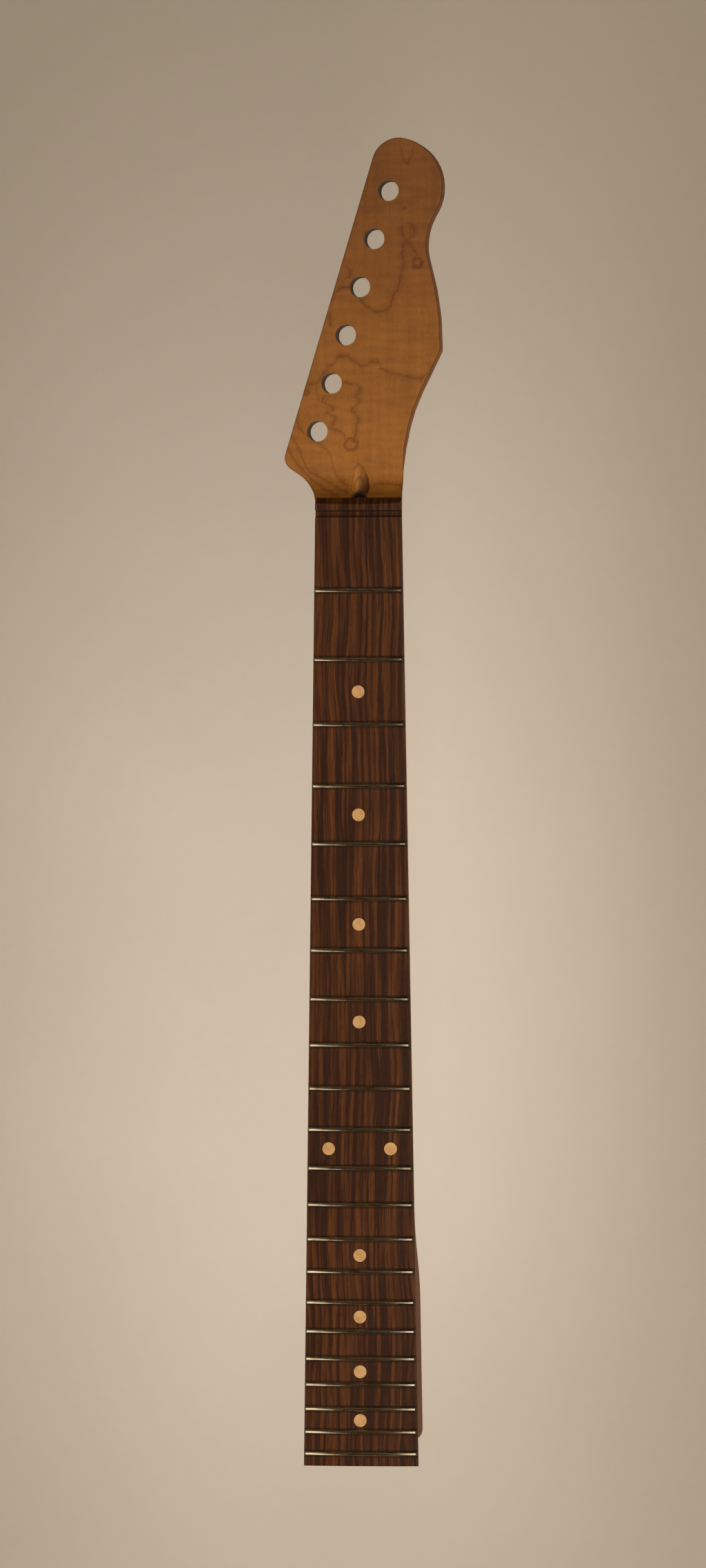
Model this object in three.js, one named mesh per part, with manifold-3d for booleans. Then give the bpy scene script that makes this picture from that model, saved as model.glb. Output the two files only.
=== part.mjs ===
// An electric guitar neck: a bolt-on maple neck with a separate rosewood fingerboard,
// 22 frets, dot markers and a two-way truss rod that is turned from the headstock.
// Millimetres. X runs to the treble side, Y to the headstock's tip and Z up out of the
// fingerboard. The origin is the middle of the four heel-screw holes, on the heel's back.

import * as THREE from 'three';
import Module from 'manifold-3d';
import { mergeVertices } from 'three/addons/utils/BufferGeometryUtils.js';

const wasm = await Module();
wasm.setup();

// Scale and plan
const scaleLength = 647.7;
const fretCount = 22;
const boardBeyondLastFret = 6.2;
const boardOverhang = 11.6;
const screwsToHeelEnd = 38.1;
const nutWidth = 43;
const boardEndWidth = 57.2;

// Depths, measured at the middle of the neck
const heelDepth = 25.4;
const boardThickness = 4.8;
const headThickness = 14.3;
const depthAtFret1 = 20.8;
const depthAtFret12 = 22.9;

// Fingerboard
const boardRadius = 241.3;
const boardFacetWidth = 8;
const boardEdgeBreak = 0.4;
const nutSlotWidth = 3.5;
const nutSlotDepth = 3;
const nutLand = 2.9;
const boardNoseRun = 3.5;

// Frets
const crownWidth = 2.4;
const crownHeight = 1.15;
const tangThickness = 0.5;
const tangDepth = 1.6;
const fretSlotPlay = 0.05;
const fretSlotSpareDepth = 0.4;
const fretEndBevelAngle = 35;
const crownSides = 6;

// Markers on the face and on the bass edge of the fingerboard
const markedFrets = [3, 5, 7, 9, 12, 15, 17, 19, 21];
const doubleMarkedFret = 12;
const dotDiameter = 6.35;
const dotThickness = 1.8;
const doubleDotSpacing = 31;
const sideDotDiameter = 2;
const sideDotLength = 2;
const sideDotHeight = 1.5;
const doubleSideDotSpacing = 8;
const glueLine = 0.05;
const dotSides = 20;
const sideDotSides = 16;

// Neck shaft and heel
const sideFlat = 1.5;
const backCurvePower = 2.2;
const backCurveSides = 8;
const heelEdgeRadius = 1;
const heelCornerRadius = 5;
const heelFadeFromScrews = 34;
const heelFadeLength = 43.5;
const fadeSteps = 8;
const shaftStationFrets = [1, 3, 5, 7, 9, 12];
const heelScrewSpacingX = 38.1;
const heelScrewSpacingY = 50.8;
const heelScrewHoleDiameter = 3.2;
const heelScrewHoleDepth = 18;

// Headstock: its corners are shares of its span and its length beyond the nut
const headLength = 190;
const headSpan = 80;
const headFrontRound = 1;
const headBackRound = 1.5;
const headRoundSides = 2;
const rampRadius = 17;
const rampSides = 8;
const headEdgeFadeBeyondNut = 8;
const headBackFallBeforeNut = 8;
const headBackFlatBeyondNut = 28;
const seamBeyondFlare = 12.5;
const flareStartShare = 0.0815;
const flareStartRadiusShare = 0.249;
const waistStartShare = 0.2374;
const waistStartRadiusShare = 1.071;
const headCornerShares = [
  { x: -0.4898, y: 0.1437, radius: 0.082 },
  { x: 0.1287, y: 1.0096, radius: 0.172 },
  { x: 0.5155, y: 0.9731, radius: 0.299 },
  { x: 0.5186, y: 0.8343, radius: 0.289 },
  { x: 0.3857, y: 0.7337, radius: 0.381 },
  { x: 0.5049, y: 0.5626, radius: 1.76 },
  { x: 0.501, y: 0.4374, radius: 0.042 },
];
const arcStepAngle = 8;

// Tuner holes, in a row along the straight bass edge
const tunerCount = 6;
const tunerSpacing = 25;
const tunerHoleDiameter = 10.4;
const tunerEdgeInset = 12.3;
const lowTunerFromCorner = 20.4;
const tunerHoleSides = 24;

// Truss rod, its channel under the fingerboard and the scoop that leads to its nut
const channelWidth = 6.4;
const channelDepth = 9.6;
const channelEndFromScrews = 4;
const rodDiameter = 5;
const rodHeightBelowBoard = 5.6;
const rodSides = 24;
const runningClearance = 0.05;
const barWidth = 6;
const barThickness = 2.5;
const trussClearance = 0.3;
const blockLength = 10;
const rodEndSpare = 2;
const trussNutDiameter = 7.4;
const trussNutLength = 12;
const trussNutSetBack = 2.4;
const socketAcrossFlats = 4.8;
const socketDepth = 8;
const nutPocketWidth = 8;
const nutPocketReach = 2.5;
const nutPocketSpare = 2;
const scoopWidth = 9.5;
const scoopLength = 17.5;
const scoopDepth = 3.6;
const scoopSetBack = 1;
const scoopSides = 36;

// How far every cutting shape runs past the face that it cuts
const overrun = 2;

// Places worked out from the sizes above
const fretFromNut = (fret) => scaleLength * (1 - 2 ** (-fret / 12));
const heelEndY = -screwsToHeelEnd;
const boardEndY = heelEndY - boardOverhang;
const nutY = boardEndY + boardBeyondLastFret + fretFromNut(fretCount);
const noseY = nutY + nutSlotWidth + nutLand;
const boardFrontY = noseY + boardNoseRun;
const boardTopZ = heelDepth;
const glueZ = heelDepth - boardThickness;
const boardTaper = (boardEndWidth - nutWidth) / 2 / (nutY - boardEndY);
const rampStartY = boardFrontY + Math.sqrt(rampRadius ** 2 - (rampRadius - glueZ + headThickness) ** 2);
const rodZ = glueZ - rodHeightBelowBoard;
const trussNutFrontY = boardFrontY - trussNutSetBack;

const { degToRad: degrees, lerp, smoothstep } = THREE.MathUtils;
const quarterTurn = Math.PI / 2;

const fretY = (fret) => nutY - fretFromNut(fret);
const halfWidthAt = (y) => nutWidth / 2 + boardTaper * Math.max(nutY - y, 0);

// Height of the fingerboard's face at x: flats between points that lie on its radius
function faceZ(x) {
  const inner = Math.floor(Math.abs(x) / boardFacetWidth) * boardFacetWidth;
  const outer = inner + boardFacetWidth;
  const drop = (at) => boardRadius - Math.sqrt(boardRadius ** 2 - at ** 2);
  const share = (Math.abs(x) - inner) / boardFacetWidth;
  return boardTopZ - lerp(drop(inner), drop(outer), share);
}

// Solids: a closed geometry becomes a solid that can be cut, and a solid becomes a mesh
function solid(geometry) {
  const bare = geometry.clone();
  bare.deleteAttribute('normal');
  bare.deleteAttribute('uv');
  const merged = mergeVertices(bare, 1e-5);
  const index = merged.index.array;
  const kept = [];
  for (let i = 0; i < index.length; i += 3) {
    const [a, b, c] = index.slice(i, i + 3);
    if (a !== b && b !== c && c !== a) kept.push(a, b, c);
  }
  return new wasm.Manifold(new wasm.Mesh({
    numProp: 3,
    vertProperties: new Float32Array(merged.attributes.position.array),
    triVerts: new Uint32Array(kept),
  }));
}

function joined(parts) {
  return parts.reduce((sum, part) => sum.add(part));
}

function meshOf(name, body, material) {
  const { vertProperties, triVerts } = body.getMesh();
  const geometry = new THREE.BufferGeometry();
  geometry.setAttribute('position', new THREE.BufferAttribute(vertProperties, 3));
  geometry.setIndex(new THREE.BufferAttribute(triVerts, 1));
  geometry.computeVertexNormals();
  const mesh = new THREE.Mesh(geometry, material);
  mesh.name = name;
  return mesh;
}

// A box between two corners
function box(low, high) {
  const size = high.map((value, i) => value - low[i]);
  const geometry = new THREE.BoxGeometry(...size);
  return solid(geometry.translate(...low.map((value, i) => value + size[i] / 2)));
}

// A round bar between two points, turned so that a flat or a corner lies at its top
function roundBar(from, to, radius, sides) {
  const start = new THREE.Vector3(...from);
  const end = new THREE.Vector3(...to);
  const geometry = new THREE.CylinderGeometry(radius, radius, start.distanceTo(end), sides);
  const direction = end.clone().sub(start).normalize();
  geometry.applyQuaternion(new THREE.Quaternion().setFromUnitVectors(new THREE.Vector3(0, 1, 0), direction));
  return solid(geometry.translate(...start.lerp(end, 0.5).toArray()));
}

// A collection of triangles that close up into one skin
class Skin {
  points = [];

  triangle(a, b, c) {
    this.points.push(...a, ...b, ...c);
  }

  strip(ringA, ringB) {
    for (let i = 0; i + 1 < ringA.length; i += 1) {
      this.triangle(ringA[i], ringB[i], ringA[i + 1]);
      this.triangle(ringA[i + 1], ringB[i], ringB[i + 1]);
    }
  }

  // A flat cap; u and v are the two axes that, in that order, turn anticlockwise from outside
  cap(outline, u, v) {
    const contour = outline.map((point) => new THREE.Vector2(point[u], point[v]));
    for (const [a, b, c] of THREE.ShapeUtils.triangulateShape(contour, [])) {
      this.triangle(outline[a], outline[b], outline[c]);
    }
  }

  solid() {
    const geometry = new THREE.BufferGeometry();
    geometry.setAttribute('position', new THREE.BufferAttribute(new Float32Array(this.points), 3));
    return solid(geometry);
  }
}

// A solid through closed rings of the same count, which follow one another along +Y and run
// anticlockwise as seen along +Y
function loft(rings) {
  const skin = new Skin();
  for (let i = 0; i + 1 < rings.length; i += 1) {
    skin.strip([...rings[i], rings[i][0]], [...rings[i + 1], rings[i + 1][0]]);
  }
  skin.cap(rings[0], 0, 2);
  skin.cap(rings.at(-1), 2, 0);
  return skin.solid();
}

// Extrudes an outline drawn in Y and Z across the neck, from -reach to +reach
function acrossNeck(outline, reach) {
  const shape = new THREE.Shape(outline.map(([y, z]) => new THREE.Vector2(y, z)));
  const geometry = new THREE.ExtrudeGeometry(shape, { depth: 2 * reach, bevelEnabled: false });
  geometry.translate(0, 0, -reach);
  geometry.rotateX(quarterTurn);
  geometry.rotateZ(quarterTurn);
  return solid(geometry);
}

// An outline of straight runs between corners that are rounded by arcs: a list of points for
// each corner. Where two roundings would need more than the run between them, they share it.
function roundCorners(corners) {
  const runs = corners.slice(1).map(({ at }, i) => at.distanceTo(corners[i].at));
  const arms = corners.slice(1, -1).map(({ at, radius }, i) => {
    const toPrevious = corners[i].at.clone().sub(at).normalize();
    const toNext = corners[i + 2].at.clone().sub(at).normalize();
    const halfAngle = Math.acos(toPrevious.dot(toNext)) / 2;
    return { at, toPrevious, toNext, halfAngle, reach: radius / Math.tan(halfAngle) };
  });
  const shareOf = (run, a, b) => Math.min(1, run / ((a?.reach ?? 0) + (b?.reach ?? 0)));
  const arcs = arms.map(({ at, toPrevious, toNext, halfAngle, reach }, i) => {
    const before = shareOf(runs[i], arms[i - 1], arms[i]);
    const after = shareOf(runs[i + 1], arms[i], arms[i + 1]);
    const fitted = reach * Math.min(before, after);
    const middle = toPrevious.clone().add(toNext).normalize();
    const centre = at.clone().addScaledVector(middle, fitted / Math.cos(halfAngle));
    const start = at.clone().addScaledVector(toPrevious, fitted).sub(centre);
    const turn = (Math.PI - 2 * halfAngle) * Math.sign(toNext.cross(toPrevious));
    const steps = Math.ceil(Math.abs(turn) / degrees(arcStepAngle));
    return Array.from({ length: steps + 1 }, (_, step) => (
      start.clone().rotateAround(new THREE.Vector2(), (turn * step) / steps).add(centre)));
  });
  return [[corners[0].at], ...arcs, [corners.at(-1).at]];
}

// The headstock's outline, from the nut's bass end round the tip to its treble end, is split at
// a seam just past the flare: the two sides of its root, and the run round the head. A point
// too close above the seam for the eased edge to turn in is left out.
function splitHeadOutline() {
  const corner = (x, yShare, radiusShare) => ({
    at: new THREE.Vector2(x, nutY + headLength * yShare),
    radius: headSpan * radiusShare,
  });
  const arcs = roundCorners([
    corner(-nutWidth / 2, 0, 0),
    corner(-nutWidth / 2, flareStartShare, flareStartRadiusShare),
    ...headCornerShares.map(({ x, y, radius }) => corner(headSpan * x, y, radius)),
    corner(nutWidth / 2, waistStartShare, waistStartRadiusShare),
    corner(nutWidth / 2, 0, 0),
  ]);
  const flare = arcs[2];
  const points = arcs.flat();
  const seam = flare.at(-1).y + seamBeyondFlare;
  const crossing = points.findIndex((point) => point.y > seam);
  const fallBack = points.findLastIndex((point) => point.y > seam) + 1;
  const onSeam = (a, b) => a.clone().lerp(b, (seam - a.y) / (b.y - a.y));
  const bassSeam = onSeam(points[crossing - 1], points[crossing]);
  const trebleSeam = onSeam(points[fallBack - 1], points[fallBack]);
  const above = points.slice(crossing, fallBack).filter((point) => point.y > seam + headBackRound);
  return {
    seamY: seam,
    bassSide: [...points.slice(0, crossing), bassSeam],
    headRound: [bassSeam, ...above, trebleSeam],
    trebleSide: [...points.slice(fallBack), trebleSeam].sort((a, b) => a.y - b.y),
  };
}

const { seamY, bassSide, headRound, trebleSide } = splitHeadOutline();

// Where the side of the neck lies at y, beyond the nut
function sideAt(side, y) {
  const next = side.findIndex((point) => point.y >= y);
  if (next < 1) return Math.abs(side[0].x);
  const [a, b] = [side[next - 1], side[next]];
  return Math.abs(lerp(a.x, b.x, (y - a.y) / (b.y - a.y)));
}

// The heights of the neck's front: the glue plane, the hollow ramp, then the headstock's face
function frontAt(y) {
  if (y <= boardFrontY) return glueZ;
  if (y >= rampStartY) return headThickness;
  return headThickness + rampRadius - Math.sqrt(rampRadius ** 2 - (rampStartY - y) ** 2);
}

// How the back is carved at y. Between the heel's block and the headstock's flat back it is a
// round as wide as half the neck; at both ends that round shrinks to an eased edge. The
// headstock's back is flat before its edges are square.
function carveAt(y) {
  const heelShare = 1 - smoothstep(y, heelFadeFromScrews, heelFadeFromScrews + heelFadeLength);
  const headShare = smoothstep(y, nutY + headEdgeFadeBeyondNut, seamY);
  const flatShare = smoothstep(y, nutY - headBackFallBeforeNut, nutY + headBackFlatBeyondNut);
  const depthGrowth = (depthAtFret12 - depthAtFret1) / (fretY(1) - fretY(12));
  const shaftLow = heelDepth - depthAtFret1 - depthGrowth * (fretY(1) - y);
  const low = shaftLow * (1 - heelShare) * (1 - flatShare);
  const blend = (shaft, heel, head) => (
    shaft * (1 - heelShare - headShare) + heel * heelShare + head * headShare);
  return {
    low,
    run: (halfWidth) => blend(Math.min(halfWidth, halfWidthAt(y)), heelEdgeRadius, headBackRound),
    rise: blend(glueZ - sideFlat - low, heelEdgeRadius, headBackRound),
    power: blend(backCurvePower, 2, 2),
  };
}

// The levels of one side of the neck's section: how far in from the side, and how high
function sideLevels(front, frontRound, { low, run, rise, power }, halfWidth) {
  const levels = [];
  for (let i = 0; i <= headRoundSides; i += 1) {
    const angle = (quarterTurn * i) / headRoundSides;
    levels.push([frontRound * (1 - Math.sin(angle)), front - frontRound * (1 - Math.cos(angle))]);
  }
  for (let i = 0; i <= backCurveSides; i += 1) {
    const angle = (quarterTurn * i) / backCurveSides;
    const inward = 1 - Math.max(Math.cos(angle), 0) ** (2 / power);
    const down = Math.sin(angle) ** (2 / power);
    levels.push([run(halfWidth) * inward, low + rise * (1 - down)]);
  }
  return levels;
}

// One section of the neck from heel to seam
function neckSection(y) {
  const cornerDepth = Math.max(heelCornerRadius - (y - heelEndY), 0);
  const corner = heelCornerRadius - Math.sqrt(heelCornerRadius ** 2 - cornerDepth ** 2);
  const frontRound = headFrontRound * smoothstep(y, boardFrontY, rampStartY);
  const side = (outline) => {
    const halfWidth = y > nutY ? sideAt(outline, y) : halfWidthAt(y) - corner;
    const levels = sideLevels(frontAt(y), frontRound, carveAt(y), halfWidth);
    return levels.map(([inset, z]) => [halfWidth - inset, z]);
  };
  const bass = side(bassSide).map(([x, z]) => [-x, y, z]);
  const treble = side(trebleSide).map(([x, z]) => [x, y, z]);
  return [...bass, ...treble.reverse()];
}

// The places along the neck where its section is drawn
function neckStations() {
  const spread = (from, to, steps) => (
    Array.from({ length: steps + 1 }, (_, i) => from + ((to - from) * i) / steps));
  const corner = spread(0, quarterTurn, headRoundSides * 2).map((angle) => (
    heelEndY + heelCornerRadius * (1 - Math.cos(angle))));
  const ramp = spread(boardFrontY, rampStartY, rampSides);
  const edgeFade = spread(nutY + headEdgeFadeBeyondNut, seamY, fadeSteps);
  const backFall = spread(nutY - headBackFallBeforeNut, nutY + headBackFlatBeyondNut, fadeSteps);
  const outline = [...bassSide, ...trebleSide].map((point) => point.y);
  const stations = [
    ...corner,
    ...spread(heelFadeFromScrews, heelFadeFromScrews + heelFadeLength, fadeSteps),
    ...shaftStationFrets.map(fretY),
    ...backFall, ...edgeFade, ...ramp, ...outline, seamY,
  ].filter((y) => y <= seamY);
  const sorted = stations.sort((a, b) => a - b);
  return sorted.filter((y, i) => i === 0 || y - sorted[i - 1] > 1e-3);
}

// The neck's skin: sections from heel to seam, then the headstock's levels round its outline
function neckBlank() {
  const skin = new Skin();
  const rings = neckStations().map(neckSection);
  for (let i = 0; i + 1 < rings.length; i += 1) {
    skin.strip([...rings[i], rings[i][0]], [...rings[i + 1], rings[i + 1][0]]);
  }
  skin.cap(rings[0], 0, 2);

  const levels = sideLevels(headThickness, headFrontRound, carveAt(seamY), headSpan);
  const insetPoint = (i, inset) => {
    const at = headRound[i];
    if (i === 0 || i === headRound.length - 1) return [at.x - Math.sign(at.x) * inset, at.y];
    const before = at.clone().sub(headRound[i - 1]).normalize();
    const after = headRound[i + 1].clone().sub(at).normalize();
    const inward = before.add(after).normalize();
    const lean = Math.sqrt((1 + before.dot(after)) / 2);
    return [at.x + (inward.y * inset) / lean, at.y - (inward.x * inset) / lean];
  };
  const walls = levels.map(([inset, z]) => headRound.map((_, i) => [...insetPoint(i, inset), z]));
  for (let k = 0; k + 1 < walls.length; k += 1) {
    skin.strip(walls[k].toReversed(), walls[k + 1].toReversed());
  }
  skin.cap(walls[0], 0, 1);
  skin.cap(walls.at(-1), 1, 0);
  return skin.solid();
}

// The truss rod's channel, with the wider pocket for its nut at the headstock's end
function trussChannel() {
  const floorZ = glueZ - channelDepth;
  const pocketBackY = trussNutFrontY - trussNutLength - nutPocketSpare;
  const pocketFrontY = boardFrontY + nutPocketReach;
  const halfPocket = nutPocketWidth / 2;
  return joined([
    box(
      [-channelWidth / 2, channelEndFromScrews, floorZ],
      [channelWidth / 2, pocketFrontY, glueZ + overrun],
    ),
    box([-halfPocket, pocketBackY, rodZ], [halfPocket, pocketFrontY, glueZ + overrun]),
    roundBar([0, pocketBackY, rodZ], [0, pocketFrontY, rodZ], halfPocket, rodSides),
  ]);
}

// The gouged scoop through which a key reaches the truss rod's nut: it starts under the
// fingerboard's end and runs out in the headstock's face
function scoop() {
  const fall = scoopDepth / scoopLength;
  const axisZ = (y) => headThickness - scoopDepth + scoopWidth / 2 + (y - boardFrontY) * fall;
  const startY = boardFrontY - scoopSetBack;
  const endY = boardFrontY + scoopLength + scoopWidth;
  return roundBar([0, startY, axisZ(startY)], [0, endY, axisZ(endY)], scoopWidth / 2, scoopSides);
}

// Tuner holes through the headstock, numbered from its tip, and the heel's four screw holes
function tunerHoles() {
  const [flareCorner, tipCorner] = headCornerShares.map(({ x, y }) => (
    new THREE.Vector2(headSpan * x, nutY + headLength * y)));
  const along = tipCorner.clone().sub(flareCorner).normalize();
  const inward = new THREE.Vector2(along.y, -along.x);
  return Array.from({ length: tunerCount }, (_, i) => {
    const distance = lowTunerFromCorner + i * tunerSpacing;
    const at = flareCorner.clone().addScaledVector(along, distance).addScaledVector(inward, tunerEdgeInset);
    return roundBar(
      [at.x, at.y, -overrun], [at.x, at.y, headThickness + overrun], tunerHoleDiameter / 2, tunerHoleSides,
    );
  });
}

function heelScrewHoles() {
  const signs = [-1, 1];
  return signs.flatMap((side) => signs.map((end) => {
    const [x, y] = [(side * heelScrewSpacingX) / 2, (end * heelScrewSpacingY) / 2];
    return roundBar([x, y, -overrun], [x, y, heelScrewHoleDepth], heelScrewHoleDiameter / 2, sideDotSides);
  }));
}

function neck() {
  return neckBlank().subtract(joined([trussChannel(), scoop(), ...tunerHoles(), ...heelScrewHoles()]));
}

// The fingerboard's face: its section, a flat under a many-sided arch, run out past both ends
const archReach = boardEndWidth / 2 + overrun;

function archPoints() {
  const count = Math.floor(archReach / boardFacetWidth);
  const inner = Array.from({ length: 2 * count + 1 }, (_, i) => (i - count) * boardFacetWidth);
  return [-archReach, ...inner, archReach].map((x) => [x, faceZ(x)]);
}

function archedSlab() {
  const section = [[-archReach, glueZ], [archReach, glueZ], ...archPoints().toReversed()];
  const ring = (y) => section.map(([x, z]) => [x, y, z]);
  return loft([boardEndY, boardFrontY].map(ring));
}

// A tapered prism that follows the fingerboard's edges: upright walls up to the face, less the
// drop, and then planes that lean inwards by the given run for each unit of height
function edgeTrim(drop, lean) {
  const reach = overrun + crownHeight;
  const ring = (y) => {
    const wall = halfWidthAt(y);
    const eaves = faceZ(wall) - drop;
    const topX = wall - lean * reach;
    return [
      [-topX, y, eaves + reach], [-wall, y, eaves], [-wall, y, glueZ - tangDepth],
      [wall, y, glueZ - tangDepth], [wall, y, eaves], [topX, y, eaves + reach],
    ];
  };
  return loft([boardEndY, nutY, boardFrontY].map(ring));
}

// Sweeps a profile, drawn in Y and in height over the face, from side to side over the arch
function overArch(profile, y) {
  const skin = new Skin();
  const rings = archPoints().map(([x, z]) => profile.map(([offset, height]) => [x, y + offset, z + height]));
  for (let i = 0; i + 1 < rings.length; i += 1) {
    skin.strip([...rings[i], rings[i][0]], [...rings[i + 1], rings[i + 1][0]]);
  }
  skin.cap(rings[0], 2, 1);
  skin.cap(rings.at(-1), 1, 2);
  return skin.solid();
}

function fretSlot(y) {
  const half = tangThickness / 2 + fretSlotPlay;
  const floor = -tangDepth - fretSlotSpareDepth;
  return overArch([[half, overrun], [half, floor], [-half, floor], [-half, overrun]], y);
}

// A fret: a half-oval crown on a thin tang
function fretBar(y) {
  const halfTang = tangThickness / 2;
  const crown = Array.from({ length: crownSides + 1 }, (_, i) => {
    const angle = (Math.PI * i) / crownSides;
    return [(-crownWidth / 2) * Math.cos(angle), crownHeight * Math.sin(angle)];
  });
  const tang = [[halfTang, 0], [halfTang, -tangDepth], [-halfTang, -tangDepth], [-halfTang, 0]];
  return overArch([...crown, ...tang], y);
}

// Markers: round pegs in the face between two frets, and in the bass edge beside them
function markerPlaces() {
  return markedFrets.flatMap((fret) => {
    const y = (fretY(fret - 1) + fretY(fret)) / 2;
    const label = String(fret).padStart(2, '0');
    if (fret !== doubleMarkedFret) return [{ label, y, x: 0, sideY: y }];
    return [
      { label: `${label}_bass`, y, x: -doubleDotSpacing / 2, sideY: y + doubleSideDotSpacing / 2 },
      { label: `${label}_treble`, y, x: doubleDotSpacing / 2, sideY: y - doubleSideDotSpacing / 2 },
    ];
  });
}

function facePeg({ x, y }, spare) {
  const floor = faceZ(x) - dotThickness;
  return roundBar([x, y, floor], [x, y, boardTopZ + overrun], dotDiameter / 2 + spare, dotSides);
}

function sidePeg({ sideY }, spare) {
  const wall = -halfWidthAt(sideY);
  const z = glueZ + sideDotHeight;
  return roundBar(
    [wall + sideDotLength, sideY, z], [wall - overrun, sideY, z], sideDotDiameter / 2 + spare, sideDotSides,
  );
}

function fingerboard() {
  const nutSlot = box(
    [-archReach, nutY, boardTopZ - nutSlotDepth],
    [archReach, nutY + nutSlotWidth, boardTopZ + overrun],
  );
  const slope = boardThickness / boardNoseRun;
  const noseCut = acrossNeck([
    [noseY - overrun, boardTopZ + overrun * slope],
    [boardFrontY + overrun, glueZ - overrun * slope],
    [boardFrontY + overrun, boardTopZ + overrun * slope],
  ], archReach);
  const cuts = [nutSlot, noseCut];
  for (let fret = 1; fret <= fretCount; fret += 1) cuts.push(fretSlot(fretY(fret)));
  for (const place of markerPlaces()) cuts.push(facePeg(place, glueLine), sidePeg(place, glueLine));
  return archedSlab().intersect(edgeTrim(boardEdgeBreak, 1)).subtract(joined(cuts));
}

// Materials
const finish = (color, roughness, metalness = 0) => (
  new THREE.MeshStandardMaterial({ color, roughness, metalness }));
const maple = finish(0xa8692f, 0.4);
const rosewood = finish(0x4a2a1a, 0.6);
const nickelSilver = finish(0xc8c4b4, 0.25, 1);
const clay = finish(0xc89860, 0.5);
const steel = finish(0x8a8c8e, 0.35, 1);
const brass = finish(0xb08d4a, 0.35, 1);

// The frets, trimmed to the fingerboard's edges with bevelled ends
function frets() {
  const group = new THREE.Group();
  const trim = edgeTrim(0, Math.tan(degrees(fretEndBevelAngle)));
  for (let fret = 1; fret <= fretCount; fret += 1) {
    const name = `fret_${String(fret).padStart(2, '0')}`;
    group.add(meshOf(name, fretBar(fretY(fret)).intersect(trim), nickelSilver));
  }
  return group;
}

function markers() {
  const group = new THREE.Group();
  const face = archedSlab();
  const edge = edgeTrim(boardEdgeBreak, 1);
  for (const place of markerPlaces()) {
    group.add(meshOf(`dot_${place.label}`, facePeg(place, 0).intersect(face), clay));
    group.add(meshOf(`side_dot_${place.label}`, sidePeg(place, 0).intersect(edge), clay));
  }
  return group;
}

// The truss rod: a threaded rod turns in two blocks that a flat bar ties together
function trussRod() {
  const group = new THREE.Group();
  const floorZ = glueZ - channelDepth;
  const barTopZ = glueZ - trussClearance;
  const barLowZ = barTopZ - barThickness;
  const nutBackY = trussNutFrontY - trussNutLength;
  const rearY = channelEndFromScrews + trussClearance;
  const frontY = nutBackY - nutPocketSpare - trussClearance;

  const bar = box([-barWidth / 2, rearY, barLowZ], [barWidth / 2, frontY, barTopZ]);
  group.add(meshOf('truss_bar', bar, steel));

  const boreRadius = (rodDiameter / 2 + runningClearance) / Math.cos(Math.PI / rodSides);
  const block = (startY) => {
    const body = box([-barWidth / 2, startY, floorZ], [barWidth / 2, startY + blockLength, barLowZ]);
    const endY = startY + blockLength + overrun;
    return body.subtract(roundBar([0, startY - overrun, rodZ], [0, endY, rodZ], boreRadius, rodSides));
  };
  group.add(meshOf('truss_rear_block', block(rearY), brass));
  group.add(meshOf('truss_front_block', block(frontY - blockLength), brass));

  const rod = roundBar([0, rearY + rodEndSpare, rodZ], [0, nutBackY, rodZ], rodDiameter / 2, rodSides);
  group.add(meshOf('truss_rod', rod, steel));

  const nutBody = roundBar([0, nutBackY, rodZ], [0, trussNutFrontY, rodZ], trussNutDiameter / 2, rodSides);
  const hexagonRadius = socketAcrossFlats / 2 / Math.cos(Math.PI / 6);
  const socketEnd = [0, trussNutFrontY - socketDepth, rodZ];
  const socket = roundBar(socketEnd, [0, trussNutFrontY + overrun, rodZ], hexagonRadius, 6);
  group.add(meshOf('truss_nut', nutBody.subtract(socket), steel));
  return group;
}

const guitarNeck = new THREE.Group();
guitarNeck.add(meshOf('neck', neck(), maple));
guitarNeck.add(meshOf('fingerboard', fingerboard(), rosewood));
guitarNeck.add(frets(), markers(), trussRod());

export default guitarNeck;
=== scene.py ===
import math

import bmesh
import bpy
from mathutils import Matrix, Vector


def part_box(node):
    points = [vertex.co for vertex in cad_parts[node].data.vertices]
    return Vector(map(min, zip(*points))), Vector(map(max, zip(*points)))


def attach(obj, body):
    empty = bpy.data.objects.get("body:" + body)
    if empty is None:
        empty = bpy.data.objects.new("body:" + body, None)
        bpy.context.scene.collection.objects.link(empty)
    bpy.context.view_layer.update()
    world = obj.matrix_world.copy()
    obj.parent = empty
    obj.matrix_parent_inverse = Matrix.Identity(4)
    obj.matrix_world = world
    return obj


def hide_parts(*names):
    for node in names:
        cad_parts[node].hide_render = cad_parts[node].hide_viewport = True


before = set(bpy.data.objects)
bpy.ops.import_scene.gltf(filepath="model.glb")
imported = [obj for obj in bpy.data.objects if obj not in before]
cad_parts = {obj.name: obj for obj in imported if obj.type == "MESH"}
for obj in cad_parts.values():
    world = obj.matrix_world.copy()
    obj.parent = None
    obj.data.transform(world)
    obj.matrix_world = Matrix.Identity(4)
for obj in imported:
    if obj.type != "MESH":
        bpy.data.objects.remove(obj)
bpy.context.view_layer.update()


# Camera. A long lens looks down on the neck as it lies face up, from 4.4 m above it and
# 0.55 m to its right, so that a little of its right side shows.
photo_width_px, photo_height_px = 1024, 2275
focal_px = 12792.9
camera = bpy.data.objects.new("camera", bpy.data.cameras.new("camera"))
bpy.context.collection.objects.link(camera)
camera.data.lens = camera.data.sensor_width * focal_px / photo_height_px
camera.location = (0.5457, 0.3006, 4.3772)
camera.rotation_euler = [math.radians(degrees) for degrees in (-0.163, 7.182, -0.169)]
camera.data.clip_start, camera.data.clip_end = 0.1, 40
bpy.context.scene.camera = camera
bpy.context.scene.view_settings.view_transform = "Standard"


# Neck: a plank of flat-sawn maple, bandsawn, routed and carved in one piece from the heel to the
# tip, sanded fine and sprayed with amber-tinted satin lacquer. Dark growth rings wander over its
# headstock, and the rod, fingerboard and tuners are fixed to it later.
neck_body = "neck_assembly"
mm = 0.001


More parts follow.
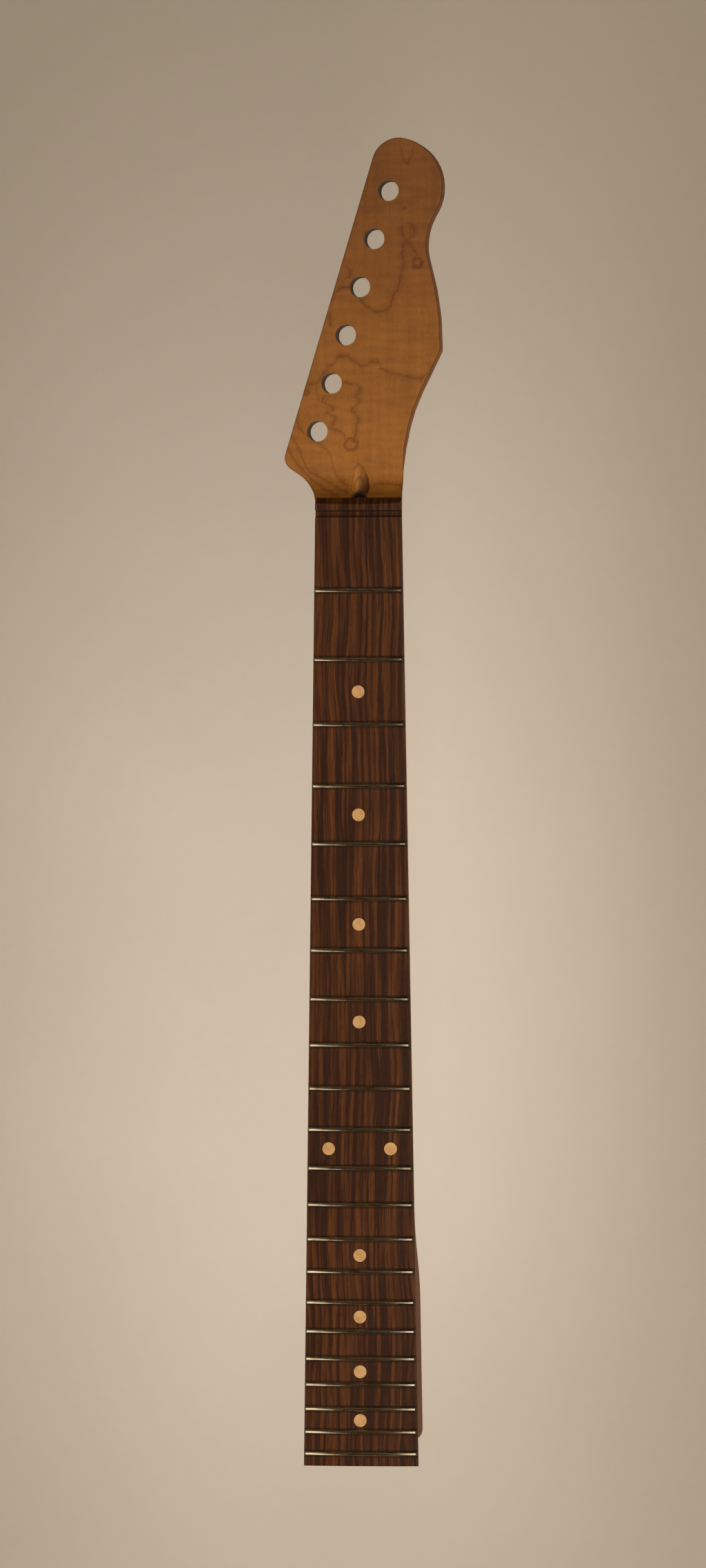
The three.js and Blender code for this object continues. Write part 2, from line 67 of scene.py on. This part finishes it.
def tone(red, green, blue):
    """A colour from 0 to 255 as a shader's linear one."""
    return tuple(
        (part / 255 / 12.92 if part <= 10 else ((part / 255 + 0.055) / 1.055) ** 2.4)
        for part in (red, green, blue)
    )


class Socket:
    """A node's output: arithmetic on it adds Math nodes, and node() adds any other."""

    def __init__(self, tree, output):
        self.tree, self.output = tree, output

    @classmethod
    def surface(cls, name):
        """A new material, and the place on the piece in millimetres as its first socket."""
        material = bpy.data.materials.new(name)
        material.use_nodes = True
        material.node_tree.nodes.clear()
        place = cls(material.node_tree, None).node("TexCoord", output="Object")
        scaled = place.node("VectorMath", {0: place, "Scale": 1 / mm}, operation="SCALE")
        return material, scaled

    def node(self, kind, sockets=None, output=0, points=None, **settings):
        """Adds a node, sets it up, fills its sockets with values or links, and gives one output."""
        made = self.tree.nodes.new("ShaderNode" + kind)
        for setting, value in settings.items():
            setattr(made, setting, value)
        if points:
            curve = made.mapping.curves[0]
            curve.points[0].location, curve.points[1].location = points[0], points[-1]
            for point in points[1:-1]:
                curve.points.new(*point)
            made.mapping.update()
        for name, value in (sockets or {}).items():
            if isinstance(value, Socket):
                self.tree.links.new(value.output, made.inputs[name])
            elif isinstance(value, tuple) and made.inputs[name].type == "RGBA":
                made.inputs[name].default_value = (*value, 1)
            else:
                made.inputs[name].default_value = value
        return Socket(self.tree, made.outputs[output])

    def math(self, operation, *others):
        """A Math node that takes this value first and the others after it."""
        values = dict(enumerate((self, *others)))
        return self.node("Math", values, operation=operation)

    def __add__(self, other):
        return self.math("ADD", other)

    def __sub__(self, other):
        return self.math("SUBTRACT", other)

    def __rsub__(self, other):
        return self * -1 + other

    def __mul__(self, other):
        return self.math("MULTIPLY", other)

    def __truediv__(self, other):
        return self.math("DIVIDE", other)

    def __rtruediv__(self, other):
        return self.math("POWER", -1.0) * other

    def __abs__(self):
        return self.math("ABSOLUTE")

    __radd__, __rmul__ = __add__, __mul__

    def largest(self, other):
        """The larger of this value and another."""
        return self.math("MAXIMUM", other)

    def axes(self):
        """The three parts of a vector."""
        return [self.node("SeparateXYZ", {0: self}, output=axis) for axis in "XYZ"]

    def rise(self, start, end):
        """0 at start and 1 at end, smoothly between them; end may be the lower one."""
        sockets = {"Value": self, "From Min": start, "From Max": end}
        return self.node("MapRange", sockets, interpolation_type="SMOOTHSTEP")

    def noise(self, size, detail=2.0, seed=0.0):
        """Noise from about 0 to 1 whose grains are size (x, y, z) millimetres; self is a place."""
        cells = self.node("VectorMath", {0: self, 1: size}, operation="DIVIDE")
        shifted = self.node("VectorMath", {0: cells, 1: (seed,) * 3}, operation="ADD")
        return self.node("TexNoise", {"Vector": shifted, "Scale": 1.0, "Detail": detail})

    def shaded(self, share):
        """This colour made lighter or darker by a share socket around 1."""
        return self.node("VectorMath", {0: self, "Scale": share}, operation="SCALE")

    def mixed(self, other, share):
        """This colour mixed with another by a share from 0 to 1."""
        return self.node("Mix", {0: share, 6: self, 7: other}, output=2, data_type="RGBA")

    def colour(self, value):
        """A plain colour to mix from, in this socket's material."""
        return self.node("Mix", {0: 0.0, 6: value}, output=2, data_type="RGBA")

    def finish(self, colour, roughness, height, depth, **constants):
        """Closes the material: height is bumps from 0 to 1, and depth their size in millimetres."""
        bump = self.node("Bump", {"Height": height, "Distance": depth * mm, "Strength": 1.0},
                         output="Normal")
        sockets = {"Base Color": colour, "Roughness": roughness, "Normal": bump}
        named = {name.replace("_", " "): value for name, value in constants.items()}
        shader = self.node("BsdfPrincipled", {**sockets, **named})
        end = self.tree.nodes.new("ShaderNodeOutputMaterial")
        self.tree.links.new(shader.output, end.inputs["Surface"])


def shown(shape, name, body, material, node, crease):
    """Turns a bmesh into a piece that stands for a CAD node and rides on its body."""
    for face in shape.faces:
        face.smooth = True
    for edge in shape.edges:
        edge.smooth = edge.calc_face_angle(0) < math.radians(crease)
    mesh = bpy.data.meshes.new(name)
    shape.to_mesh(mesh)
    shape.free()
    mesh.materials.append(material)
    piece = bpy.data.objects.new(name, mesh)
    bpy.context.collection.objects.link(piece)
    normals = piece.modifiers.new("even shading", "WEIGHTED_NORMAL")
    normals.keep_sharp = True
    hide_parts(node)
    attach(piece, body)


def dressed(node, name, body, material):
    """A merged copy of a CAD node, shaded smooth save at edges sharper than its crease angle."""
    crease = 32
    shape = bmesh.new()
    shape.from_mesh(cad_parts[node].data)
    bmesh.ops.remove_doubles(shape, verts=shape.verts, dist=0.0005 * mm)
    bmesh.ops.dissolve_limit(
        shape, angle_limit=math.radians(0.2), verts=shape.verts, edges=shape.edges
    )
    shown(shape, name, body, material, node, crease)


def distance(x, y, centre_x, centre_y):
    """How far a place is from an upright line through a point, in millimetres."""
    return ((x - centre_x).math("POWER", 2.0) + (y - centre_y).math("POWER", 2.0)).math("SQRT")


def on_head(pixels, upright=False):
    """Places (x, y) on the headstock's face under pixels of the photo, or (y, x) if upright."""
    places = []
    for pixel_x, pixel_y in pixels:
        ray = Vector((pixel_x - photo_width_px / 2, photo_height_px / 2 - pixel_y, -focal_px))
        ray.rotate(camera.rotation_euler)
        reach = (head_face_z * mm - camera.location.z) / ray.z
        place = (camera.location + ray * reach) / mm
        places.append((place.y, place.x) if upright else (place.x, place.y))
    return places


def ring_line(along, across, points, width, feather=2.0):
    """How near a place is to a growth ring's ragged edge, given as points (along, across)."""
    low, high = min(p[0] for p in points), max(p[0] for p in points)
    least, most = min(p[1] for p in points), max(p[1] for p in points)
    share = (along - low) / (high - low)
    curve = sorted(((a - low) / (high - low), (c - least) / (most - least)) for a, c in points)
    wanted = share.node("FloatCurve", {"Value": share}, points=curve) * (most - least) + least
    away = abs(across - wanted)
    near = (away.rise(width * 1.7, 0.0) * 0.85).largest(away.rise(width * 4.5, 0.0) * 0.4)
    return near * along.rise(low - feather, low) * along.rise(high + feather, high)


head_face_z = 14.3
maple, place = Socket.surface("amber_maple")
x, y, z = place.axes()
wander_x = (place.noise((2.0, 1.9, 3.0), 2.5, 3.1) - 0.5) * 2.7
wander_y = (place.noise((1.8, 2.1, 3.0), 2.5, 8.7) - 0.5) * 2.7
rx, ry = x + wander_x, y + wander_y
head_face = z.rise(head_face_z - 1.0, head_face_z - 0.1) * y.rise(428, 432)

# Growth rings on the headstock, each a row of pixels of the photo, and small loops, each as its
# middle pixel, its radius and the width of its line in millimetres. Most of the pixels were read
# one by one, and the others restate places that were given in millimetres.
long_ring_start = [(440, 562), (448, 558), (460, 556)]
long_ring = [
    (461, 555), (468, 544), (474, 536), (486, 524), (489, 518), (496, 517), (504, 517), (510, 522),
    (518, 526), (524, 531), (532, 529), (540, 524), (548, 525), (552, 534), (560, 538), (570, 542),
    (580, 543), (590, 546), (600, 548), (608, 549), (616, 545), (622, 539),
]
right_zigzag = [
    (511, 556), (520, 560), (522, 565), (520, 570), (516, 574), (521, 580), (520, 586), (511, 592),
    (514, 600), (520, 609), (518, 616), (516, 630), (514, 635),
]
zigzag_bridge = [(492, 555), (500, 555), (508, 556), (512, 558)]
left_zigzag = [
    (477, 573), (468, 580), (474, 586), (482, 591), (482, 595), (474, 599), (486, 605), (484, 612),
    (478, 621),
]
left_zigzag_foot = [(478, 622), (486, 625), (495, 627), (499, 632), (501, 636)]
bass_edge_ring = [(432, 595), (432, 612), (437, 624), (446, 631)]
inner_arc = [
    (457, 641), (468, 647), (476, 655), (481, 665), (483, 674), (486, 686), (494, 697), (505, 703),
]
middle_arc = [
    (426, 638), (434, 652), (440, 668), (447, 682), (460, 690), (476, 698), (490, 708), (504, 714),
]
outer_arc = [(418, 650), (424, 662), (432, 674), (444, 688), (458, 700), (476, 712), (494, 721)]
treble_arc = [(532, 711), (544, 704), (552, 702), (566, 702), (582, 706)]
left_column = [
    (583, 328), (583, 340), (588, 348), (585, 356), (584, 364), (585, 376), (587, 380), (585, 386),
    (580, 404), (578, 416), (574, 424), (570, 430), (568, 440),
]
column_foot = [(520, 432), (528, 440), (536, 446), (546, 452), (558, 450), (568, 442)]
right_column = [
    (590, 323), (598, 328), (601, 336), (597, 344), (591, 349), (596, 356), (602, 366), (604, 371),
    (595, 378),
]
tip_loop = [(579, 199), (581, 215), (585, 230), (590, 236), (595, 230), (600, 215), (602, 199)]
hole_arc = [(480, 440), (483, 433), (488, 422), (496, 418), (507, 417)]
small_hook = [(498, 405), (508, 399), (507, 391), (497, 385)]
short_mark = [(479, 475), (478, 454)]
small_loops = [
    ((509, 645), 2.9, 1.0), ((587.6, 301), 0.3, 0.8), ((444, 569), 1.0, 1.0),
    ((605.5, 381.5), 2.2, 1.3),
]
rings = [
    ring_line(rx, ry, on_head(long_ring_start), 0.8),
    ring_line(rx, ry, on_head(long_ring), 0.9),
    ring_line(ry, rx, on_head(right_zigzag, upright=True), 0.8, 0.5),
    ring_line(rx, ry, on_head(zigzag_bridge), 0.7, 0.5),
    ring_line(ry, rx, on_head(left_zigzag, upright=True), 0.8, 0.5),
    ring_line(rx, ry, on_head(left_zigzag_foot), 0.7, 0.5),
    ring_line(ry, rx, on_head(bass_edge_ring, upright=True), 0.8),
    ring_line(rx, ry, on_head(inner_arc), 0.8),
    ring_line(rx, ry, on_head(middle_arc), 0.9),
    ring_line(rx, ry, on_head(outer_arc), 0.8),
    ring_line(rx, ry, on_head(treble_arc), 0.7),
    ring_line(ry, rx, on_head(left_column, upright=True), 0.8, 0.6),
    ring_line(rx, ry, on_head(column_foot), 0.8, 0.6),
    ring_line(ry, rx, on_head(right_column, upright=True), 0.7, 0.6),
    ring_line(rx, ry, on_head(tip_loop), 0.8, 0.5),
    ring_line(rx, ry, on_head(hole_arc), 0.6, 0.5),
    ring_line(ry, rx, on_head(small_hook, upright=True), 0.6, 0.5),
    ring_line(ry, x, on_head(short_mark, upright=True), 0.45, 0.4),
]
for pixel, radius, wide in small_loops:
    centre_x, centre_y = on_head([pixel])[0]
    loop = distance(rx + wander_y * 0.9, ry + wander_x * 0.9, centre_x, centre_y)
    rings.append(abs(loop - radius).rise(wide * 1.5, 0.0) * 0.85)
drawn = rings[0]
for line in rings[1:]:
    drawn = drawn.largest(line)
drawn = drawn * (0.45 + 0.9 * place.noise((6.0, 7.0, 9.0), 2.0, 5.5))

# The flat-sawn layers that the carved shaft, heel and sides cut through.
hill = place.noise((21.0, 190.0, 13.0), 1.0, 2.3) * 16.0 + wander_x * 0.05
layer = abs(hill.math("FRACT") - 0.5)
cathedral = layer.rise(0.16, 0.02) * (1 - head_face) * 0.8

fibres = place.noise((0.30, 5.5, 0.30), 2.0, 1.2)
flecks = place.noise((0.5, 2.2, 0.6), 2.0, 6.4)
streaks = place.noise((3.4, 60.0, 3.4), 2.0, 4.0)
figure = place.noise((20.0, 3.4, 12.0), 3.0, 9.0)
clouds = place.noise((30.0, 42.0, 25.0), 1.0, 7.7)

# The lacquered wood: amber, with painted shade that makes it browner towards the tip, on the
# ramp before the board and on the heel.
ground = place.colour(tone(142, 87, 32)).mixed(tone(110, 64, 23), y.rise(440, 612))
ground = ground.mixed(tone(122, 73, 21), z.rise(14.6, 19.0) * y.rise(430, 434))
light = 1 + (fibres - 0.5) * 0.28 + (flecks - 0.5) * 0.4 + (streaks - 0.5) * 0.34
light = light + (figure - 0.5) * 0.62 + (clouds - 0.5) * 0.3
coloured = ground.shaded(light)
drawn = drawn * (y.rise(480, 540) * 0.22 + 0.7)
coloured = coloured.mixed(tone(90, 45, 15), drawn.largest(cathedral * 0.4))
# Painted shade on the heel below the board.
heel = y.rise(130, 40) * z.rise(20.7, 20.5)
coloured = coloured.mixed(tone(92, 57, 27), heel * 0.7)

# The routed scoop, whose axis climbs towards the head: painted light on its left wall, painted
# shade on its right and deeper part, and crossed by the grain it cuts.
board_front_y = 432.345
scoop_radius, scoop_rise, scoop_length, scoop_axis_z = 4.72, 3.6, 17.5, 15.45
axis_z = y * (scoop_rise / scoop_length) + (
    scoop_axis_z - board_front_y * scoop_rise / scoop_length
)
gouge = abs(distance(x, z, 0.0, axis_z) - scoop_radius).rise(0.5, 0.12)
gouge = gouge * y.rise(431.0, 432.0) * y.rise(453.0, 450.0)
coloured = coloured.mixed(tone(168, 106, 40), gouge * x.rise(1.0, -2.2) * 0.7)
painted_scoop_shade = gouge * x.rise(-2.2, 1.2) * y.rise(450.0, 437.0)
coloured = coloured.mixed(tone(86, 50, 18), painted_scoop_shade * 0.85)
cut = ((z * 0.75 + x * 0.1) + wander_y * 0.10).math("FRACT")
coloured = coloured.mixed(tone(84, 46, 15), abs(cut - 0.5).rise(0.20, 0.02) * gouge * 0.55)

# Painted shade browns the headstock's upper edges where their rounding turns from the top.
upward = place.node("NewGeometry", output="Normal").axes()[2]
edge = upward.rise(0.995, 0.7) * z.rise(9.0, 12.5) * y.rise(440, 450)
coloured = coloured.mixed(tone(96, 54, 28), edge * 0.55)

# Painted shade on the walls of the six tuner holes, darker towards the back, and in the mouth of
# the key's pocket.
tuner_count, hole_radius = 6, 5.2
first_hole, hole_step = (-21.530, 465.741), (7.2002, 23.9408)
painted_bore_shade = None
for number in range(tuner_count):
    hole_x, hole_y = (first + step * number for first, step in zip(first_hole, hole_step))
    inside = distance(x, y, hole_x, hole_y).rise(hole_radius + 0.25, hole_radius + 0.05)
    painted_bore_shade = inside if painted_bore_shade is None else painted_bore_shade.largest(inside)
coloured = coloured.mixed(tone(34, 20, 11), painted_bore_shade * z.rise(14.6, 5.0))
mouth_x, mouth_y = -1.0, 432.3
painted_pocket_shade = distance(x, y, mouth_x, mouth_y).rise(4.4, 1.9) * z.rise(14.6, 13.2) * z.rise(8.0, 9.5)
coloured = coloured.mixed(tone(20, 12, 7), painted_pocket_shade)
place.finish(
    coloured, 0.5 + fibres * 0.12, fibres * 0.6 + flecks * 0.4, 0.03, Specular_IOR_Level=0.14,
)
dressed("neck", "maple_neck", neck_body, maple)


# Truss rod: a steel rod lies in a slot under the fingerboard between two brass blocks, with a flat
# steel bar over it, and ends in a round nut that a hex key turns at the headstock.
rod_steel, place = Socket.surface("plain_steel")
turned = place.noise((2.5, 0.12, 2.5), 2.0)
stains = place.noise((4.0, 9.0, 4.0), 3.0, 2.0)
steel = place.colour(tone(150, 150, 152)).mixed(tone(96, 92, 88), stains.rise(0.45, 0.75))
place.finish(
    steel.shaded(0.85 + turned * 0.3), 0.3 + stains * 0.25, turned, 0.01, Metallic=0.95,
)
brass, place = Socket.surface("plain_brass")
milled = place.noise((0.2, 3.0, 0.2), 2.0)
tarnish = place.noise((5.0, 5.0, 5.0), 3.0, 1.0)
yellow = place.colour(tone(196, 172, 118)).mixed(tone(122, 96, 58), tarnish.rise(0.4, 0.75))
place.finish(yellow.shaded(0.9 + milled * 0.2), 0.32 + tarnish * 0.2, milled, 0.01, Metallic=0.95)
for node, name, body, slot, material in (
    ("truss_bar", "rod_cover_bar", neck_body, "rod_steel", rod_steel),
    ("truss_front_block", "rod_front_block", neck_body, "block_brass", brass),
    ("truss_rear_block", "rod_rear_block", neck_body, "block_brass", brass),
    ("truss_rod", "threaded_rod", "truss_adjuster", "rod_steel", rod_steel),
    ("truss_nut", "adjuster_nut", "truss_adjuster", "rod_steel", rod_steel),
):
    dressed(node, name, body, material)


# Fingerboard: one strip of open-pored Indian rosewood, glued on the neck, planed to a 241 mm
# radius, slotted for the frets and the string nut, and only oiled. Its grain runs along it in
# orange-brown and violet-black stripes.
dot_labels = ("03", "05", "07", "09", "12_bass", "12_treble", "15", "17", "19", "21")
rosewood, place = Socket.surface("oiled_rosewood")
x, y, z = place.axes()
drift = (place.noise((60.0, 70.0, 60.0), 2.0) - 0.5) * 7.0
drift = drift + (place.noise((5.0, 9.0, 20.0), 2.0, 4.4) - 0.5) * 0.9
bent = place.node("CombineXYZ", {"X": x + drift, "Y": y, "Z": z})
across, _, _ = bent.axes()
scale_length, nut_y, nut_slot_width = 647.7, 422.445, 3.5
broad = bent.noise((1.75, 80.0, 24.0), 3.0, 1.5)
narrow = bent.noise((0.75, 24.0, 8.0), 3.0, 6.1)
hair = bent.noise((0.28, 8.0, 2.5), 2.0, 3.3)
pores = bent.noise((0.22, 3.4, 0.9), 1.0, 7.9).rise(0.60, 0.72)
bass_band, middle_band, treble_band = -13.2, 0.2, 19.2
bands = abs(across - bass_band).rise(2.2, 0.6)
bands = bands.largest(abs(across - middle_band).rise(1.6, 0.3))
bands = bands.largest(abs(across - treble_band).rise(2.2, 0.6))
wood = place.colour(tone(50, 26, 13)).mixed(tone(86, 47, 19), broad.rise(0.42, 0.64))
wood = wood.mixed(tone(108, 59, 20), bands * broad * 0.55)
wood = wood.mixed(tone(42, 22, 12), narrow.rise(0.46, 0.70) * 0.65)
wood = wood.shaded(0.65 + hair * 0.7).mixed(tone(28, 15, 9), pores * 0.3)

# How far a place is from the nearest fret, by the equal-tempered rule on what is left of the
# string: painted shade beside each fret and in the empty nut slot, and dirt gathers round each dot.
left = (y - nut_y) + scale_length
row = (scale_length / left).math("LOGARITHM", 2.0) * 12
from_fret = abs((row + 0.5).math("FRACT") - 0.5) * left * (math.log(2) / 12)
painted_fret_shade = from_fret.rise(2.4, 1.3) * y.rise(400.0, 390.0)
rim, dot_rim_radius = None, 3.3
for label in dot_labels:
    low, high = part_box(f"dot_{label}")
    middle = (low + high) / 2 / mm
    line = abs(distance(x, y, middle.x, middle.y) - dot_rim_radius).rise(0.45, 0.1)
    rim = line if rim is None else rim.largest(line)
painted_slot_shade = abs(y - (nut_y + nut_slot_width / 2)).rise(0.7, 1.5) * z.rise(24.0, 23.6)
painted_slot_shade = painted_slot_shade * y.rise(427.0, 426.2) * y.rise(421.5, 422.2)

# The board's two long edges are rubbed paler by hands.
nut_half_width, end_half_width = 21.5, 28.6
board_end_y = -49.7
taper = (end_half_width - nut_half_width) / (nut_y - board_end_y)
inwards = (abs(x) + y * taper) * -1 + (nut_half_width + nut_y * taper)
rubbed = inwards.rise(1.1, 0.2) * z.rise(22.5, 23.5)
wood = wood.mixed(tone(98, 66, 42), rubbed * (0.12 + hair * 0.3))
# Painted shade beside the frets and in the nut slot, and dirt round the dots.
wood = wood.mixed(tone(24, 13, 8), (painted_fret_shade * 0.6).largest(rim * 0.7).largest(painted_slot_shade * 0.8))
place.finish(
    wood, 0.55 + pores * 0.2 - rubbed * 0.12, 1 - (pores * 0.7 + hair * 0.3), 0.06,
    Specular_IOR_Level=0.07,
)
dressed("fingerboard", "rosewood_fingerboard", neck_body, rosewood)


# Frets: 22 lengths of 2.4 mm nickel silver wire, each pressed into its slot, filed to a satin bevel
# at both of its ends, and crowned and polished along its length, with painted shade at the ends.
fret_count = 22
nickel, place = Socket.surface("nickel_silver")
x, y, z = place.axes()
polish = place.noise((1.8, 0.09, 0.4), 2.0, 2.0)
wear = place.noise((6.0, 1.6, 2.0), 3.0, 5.0)
metal = place.colour(tone(214, 195, 162)).mixed(tone(156, 138, 104), wear.rise(0.45, 0.72))
past_edge = abs(x) + y * taper - (nut_half_width + nut_y * taper)
filed = past_edge.rise(-1.0, -0.7)
# Painted shade darkens the metal towards its ends, most at the treble end.
painted_end_shade = past_edge.rise(-12.0, -4.0) * (0.2 + x.rise(0.0, 10.0) * 0.35)
metal = metal.mixed(tone(104, 92, 70), filed * 0.85)
place.finish(
    metal.shaded(0.9 + polish * 0.2 - painted_end_shade), 0.07 + wear * 0.07 + filed * 0.25, polish, 0.004,
    Metallic=1.0,
)
wire_width, crown_height, tang_width, tang_depth = 2.4, 1.149, 0.5, 1.6
board_radius, board_top = 241.3, 25.4
end_bevel = math.radians(35)
half_sweep = math.radians(7.4)
crown_steps, sweep_steps, fret_crease = 18, 28, 50
for number in range(1, fret_count + 1):
    low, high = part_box(f"fret_{number:02d}")
    fret_y = (low.y + high.y) / 2 / mm
    wall = nut_half_width + (nut_y - fret_y) * taper
    eaves = board_top - board_radius + math.sqrt(board_radius**2 - wall**2)
    wire = bmesh.new()
    turn = [math.pi * step / crown_steps for step in range(crown_steps + 1)]
    profile = [(-wire_width / 2 * math.cos(t), crown_height * math.sin(t)) for t in turn]
    profile += [(tang_width / 2, 0), (tang_width / 2, -tang_depth),
                (-tang_width / 2, -tang_depth), (-tang_width / 2, 0)]
    corners = [wire.verts.new((0, fret_y + across, board_top + up)) for across, up in profile]
    for start, end in zip(corners, corners[1:] + corners[:1]):
        wire.edges.new((start, end))
    centre = (0, fret_y, board_top - board_radius)
    to_bass_side = Matrix.Rotation(-half_sweep, 3, "Y")
    bmesh.ops.rotate(wire, cent=centre, matrix=to_bass_side, verts=wire.verts)
    bmesh.ops.spin(wire, geom=wire.verts[:] + wire.edges[:], cent=centre, axis=(0, 1, 0),
                   angle=2 * half_sweep, steps=sweep_steps, use_duplicate=False)
    for hand in (-1, 1):
        leaning = (hand * math.cos(end_bevel), taper, math.sin(end_bevel))
        for normal in ((hand, taper, 0), leaning):
            bmesh.ops.bisect_plane(
                wire, geom=wire.verts[:] + wire.edges[:] + wire.faces[:], dist=1e-6,
                plane_co=(hand * wall, fret_y, eaves), plane_no=normal, clear_outer=True,
            )
    rims = [edge for edge in wire.edges if edge.is_boundary]
    bmesh.ops.holes_fill(wire, edges=rims, sides=0)
    bmesh.ops.recalc_face_normals(wire, faces=wire.faces)
    bmesh.ops.scale(wire, vec=(mm, mm, mm), verts=wire.verts)
    label = f"{number:02d}"
    shown(
        wire, f"fret_wire_{label}", neck_body, nickel, f"fret_{label}", fret_crease,
    )


# Dots: pale clay discs, drilled in, glued and levelled with the wood, on the face of the
# fingerboard and as small ones on its bass edge.
clay, place = Socket.surface("clay_dot")
grit = place.noise((0.5, 0.5, 0.5), 3.0)
smear = place.noise((2.2, 3.0, 2.2), 2.0, 4.0)
paste = place.colour(tone(194, 145, 86)).mixed(tone(178, 130, 74), smear.rise(0.4, 0.7))
place.finish(paste.shaded(0.9 + grit * 0.2), 0.5 + grit * 0.15, grit, 0.02,
             Specular_IOR_Level=0.35)
dot_proud, dot_sides, dot_crease = 0.012, 72, 40
for label in dot_labels:
    low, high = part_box(f"dot_{label}")
    middle, radius = (low + high) / 2 / mm, (high.x - low.x) / 2 / mm
    disc = bmesh.new()
    bmesh.ops.create_circle(disc, cap_ends=True, segments=dot_sides, radius=radius)
    top = bmesh.ops.extrude_face_region(disc, geom=disc.faces[:])["geom"]
    bmesh.ops.translate(disc, vec=(middle.x, middle.y, low.z / mm), verts=disc.verts)
    for vert in top:
        if isinstance(vert, bmesh.types.BMVert):
            arch = math.sqrt(board_radius**2 - vert.co.x**2) - board_radius
            vert.co.z = board_top + arch + dot_proud
    bmesh.ops.recalc_face_normals(disc, faces=disc.faces)
    bmesh.ops.scale(disc, vec=(mm, mm, mm), verts=disc.verts)
    shown(disc, f"clay_dot_{label}", neck_body, clay, f"dot_{label}", dot_crease)
    dressed(f"side_dot_{label}", f"clay_side_dot_{label}", neck_body, clay)


# Floor and light: a plain pale floor a third of a metre below the neck, so that only a soft
# shadow lies on it, two wide soft lamps at its left and right, and a dim warm room with a pale
# horizon.
floor_drop, floor_radius, floor_middle_y = 0.32, 9.0, 0.28
horizon_tone = tone(184, 170, 152)
backdrop, place = Socket.surface("pale_floor")
x, y, z = place.axes()
mottle = place.noise((160.0, 160.0, 160.0), 2.0)
weave = place.noise((6.0, 6.0, 6.0), 3.0)
# Painted light on the floor, brightest left of the neck's middle, and painted shade towards its
# edges.
painted_light_pool = ((x + 88) / 225).math("POWER", 2.0) + ((y - 194) / 430).math("POWER", 2.0)
shade = 1 - (painted_light_pool * -1.2 + (mottle - 0.5) * 0.3).math("EXPONENT")
pale = place.colour(tone(224, 208, 190)).mixed(tone(158, 144, 125), shade)
place.finish(pale.shaded(0.98 + weave * 0.04), 0.85 + weave * 0.1, weave, 0.05,
             Specular_IOR_Level=0.0)
tree = backdrop.node_tree
shader = next(node for node in tree.nodes if node.type == "BSDF_PRINCIPLED")
here = Socket(tree, shader.outputs[0])
side = here.node("NewGeometry", output="Backfacing")
clear = here.node("BsdfTransparent")
seen = here.node("LightPath", output="Is Camera Ray")
glossy = here.node("LightPath", output="Is Glossy Ray")
through = here.node("LightPath", output="Is Transmission Ray")
neck_middle_y, lit_radius, hazy_radius = 290.0, 425.0, 1000.0
far = distance(x, y, 0.0, neck_middle_y).rise(lit_radius, hazy_radius)
haze = here.node("Emission", {"Color": horizon_tone, "Strength": 1.0})
paled = here.node("MixShader", {0: seen.largest(glossy).largest(through) * far, 1: here, 2: haze})
one_sided = here.node("MixShader", {0: side, 1: paled, 2: clear})
end = next(node for node in tree.nodes if node.type == "OUTPUT_MATERIAL")
tree.links.new(one_sided.output, end.inputs["Surface"])
ground_shape = bmesh.new()
bmesh.ops.create_circle(ground_shape, cap_ends=True, segments=64, radius=floor_radius)
bmesh.ops.translate(ground_shape, vec=(0, floor_middle_y, -floor_drop), verts=ground_shape.verts)
bmesh.ops.recalc_face_normals(ground_shape, faces=ground_shape.faces)
floor_mesh = bpy.data.meshes.new("floor")
ground_shape.to_mesh(floor_mesh)
ground_shape.free()
floor_mesh.materials.append(backdrop)
floor = bpy.data.objects.new("floor", floor_mesh)
bpy.context.collection.objects.link(floor)

lamp_height, lamp_length, lamp_middle_y = 2.5, 5.2, -1.4
for name, from_x, to_x, watts in (
    ("left_lamp", -2.67, -0.82, 54.0), ("right_lamp", 0.2, 3.2, 158.0),
):
    lamp = bpy.data.lights.new(name, "AREA")
    lamp.shape, lamp.size, lamp.size_y = "RECTANGLE", to_x - from_x, lamp_length
    lamp.energy, lamp.color = watts, (1.0, 0.985, 0.955)
    holder = bpy.data.objects.new(name, lamp)
    holder.location = ((from_x + to_x) / 2, lamp_middle_y, lamp_height)
    holder.visible_camera = False
    bpy.context.collection.objects.link(holder)

room = bpy.data.worlds.new("room")
room.use_nodes = True
bpy.context.scene.world = room
room.node_tree.nodes.clear()
sky = Socket(room.node_tree, None)
seen = sky.node("LightPath", output="Is Camera Ray")
glossy = sky.node("LightPath", output="Is Glossy Ray")
through = sky.node("LightPath", output="Is Transmission Ray")
_, ahead, height = sky.node("TexCoord", output="Generated").axes()
strip = ahead.rise(0.28, 0.40) * ahead.rise(0.58, 0.46) * height.rise(0.0, 0.2)
room_level, horizon_level, strip_level = 0.035, 0.10, 0.22
fill = room_level + abs(height).rise(0.35, 0.0) * horizon_level + strip * strip_level
dim = sky.node("Background", {"Color": tone(250, 218, 172), "Strength": fill})
pale_air = sky.node("Background", {"Color": horizon_tone, "Strength": 1.0})
mirrored = glossy.largest(through) * height.rise(0.08, 0.0)
air = sky.node("MixShader", {0: seen.largest(mirrored), 1: dim, 2: pale_air})
end = room.node_tree.nodes.new("ShaderNodeOutputWorld")
room.node_tree.links.new(air.output, end.inputs["Surface"])
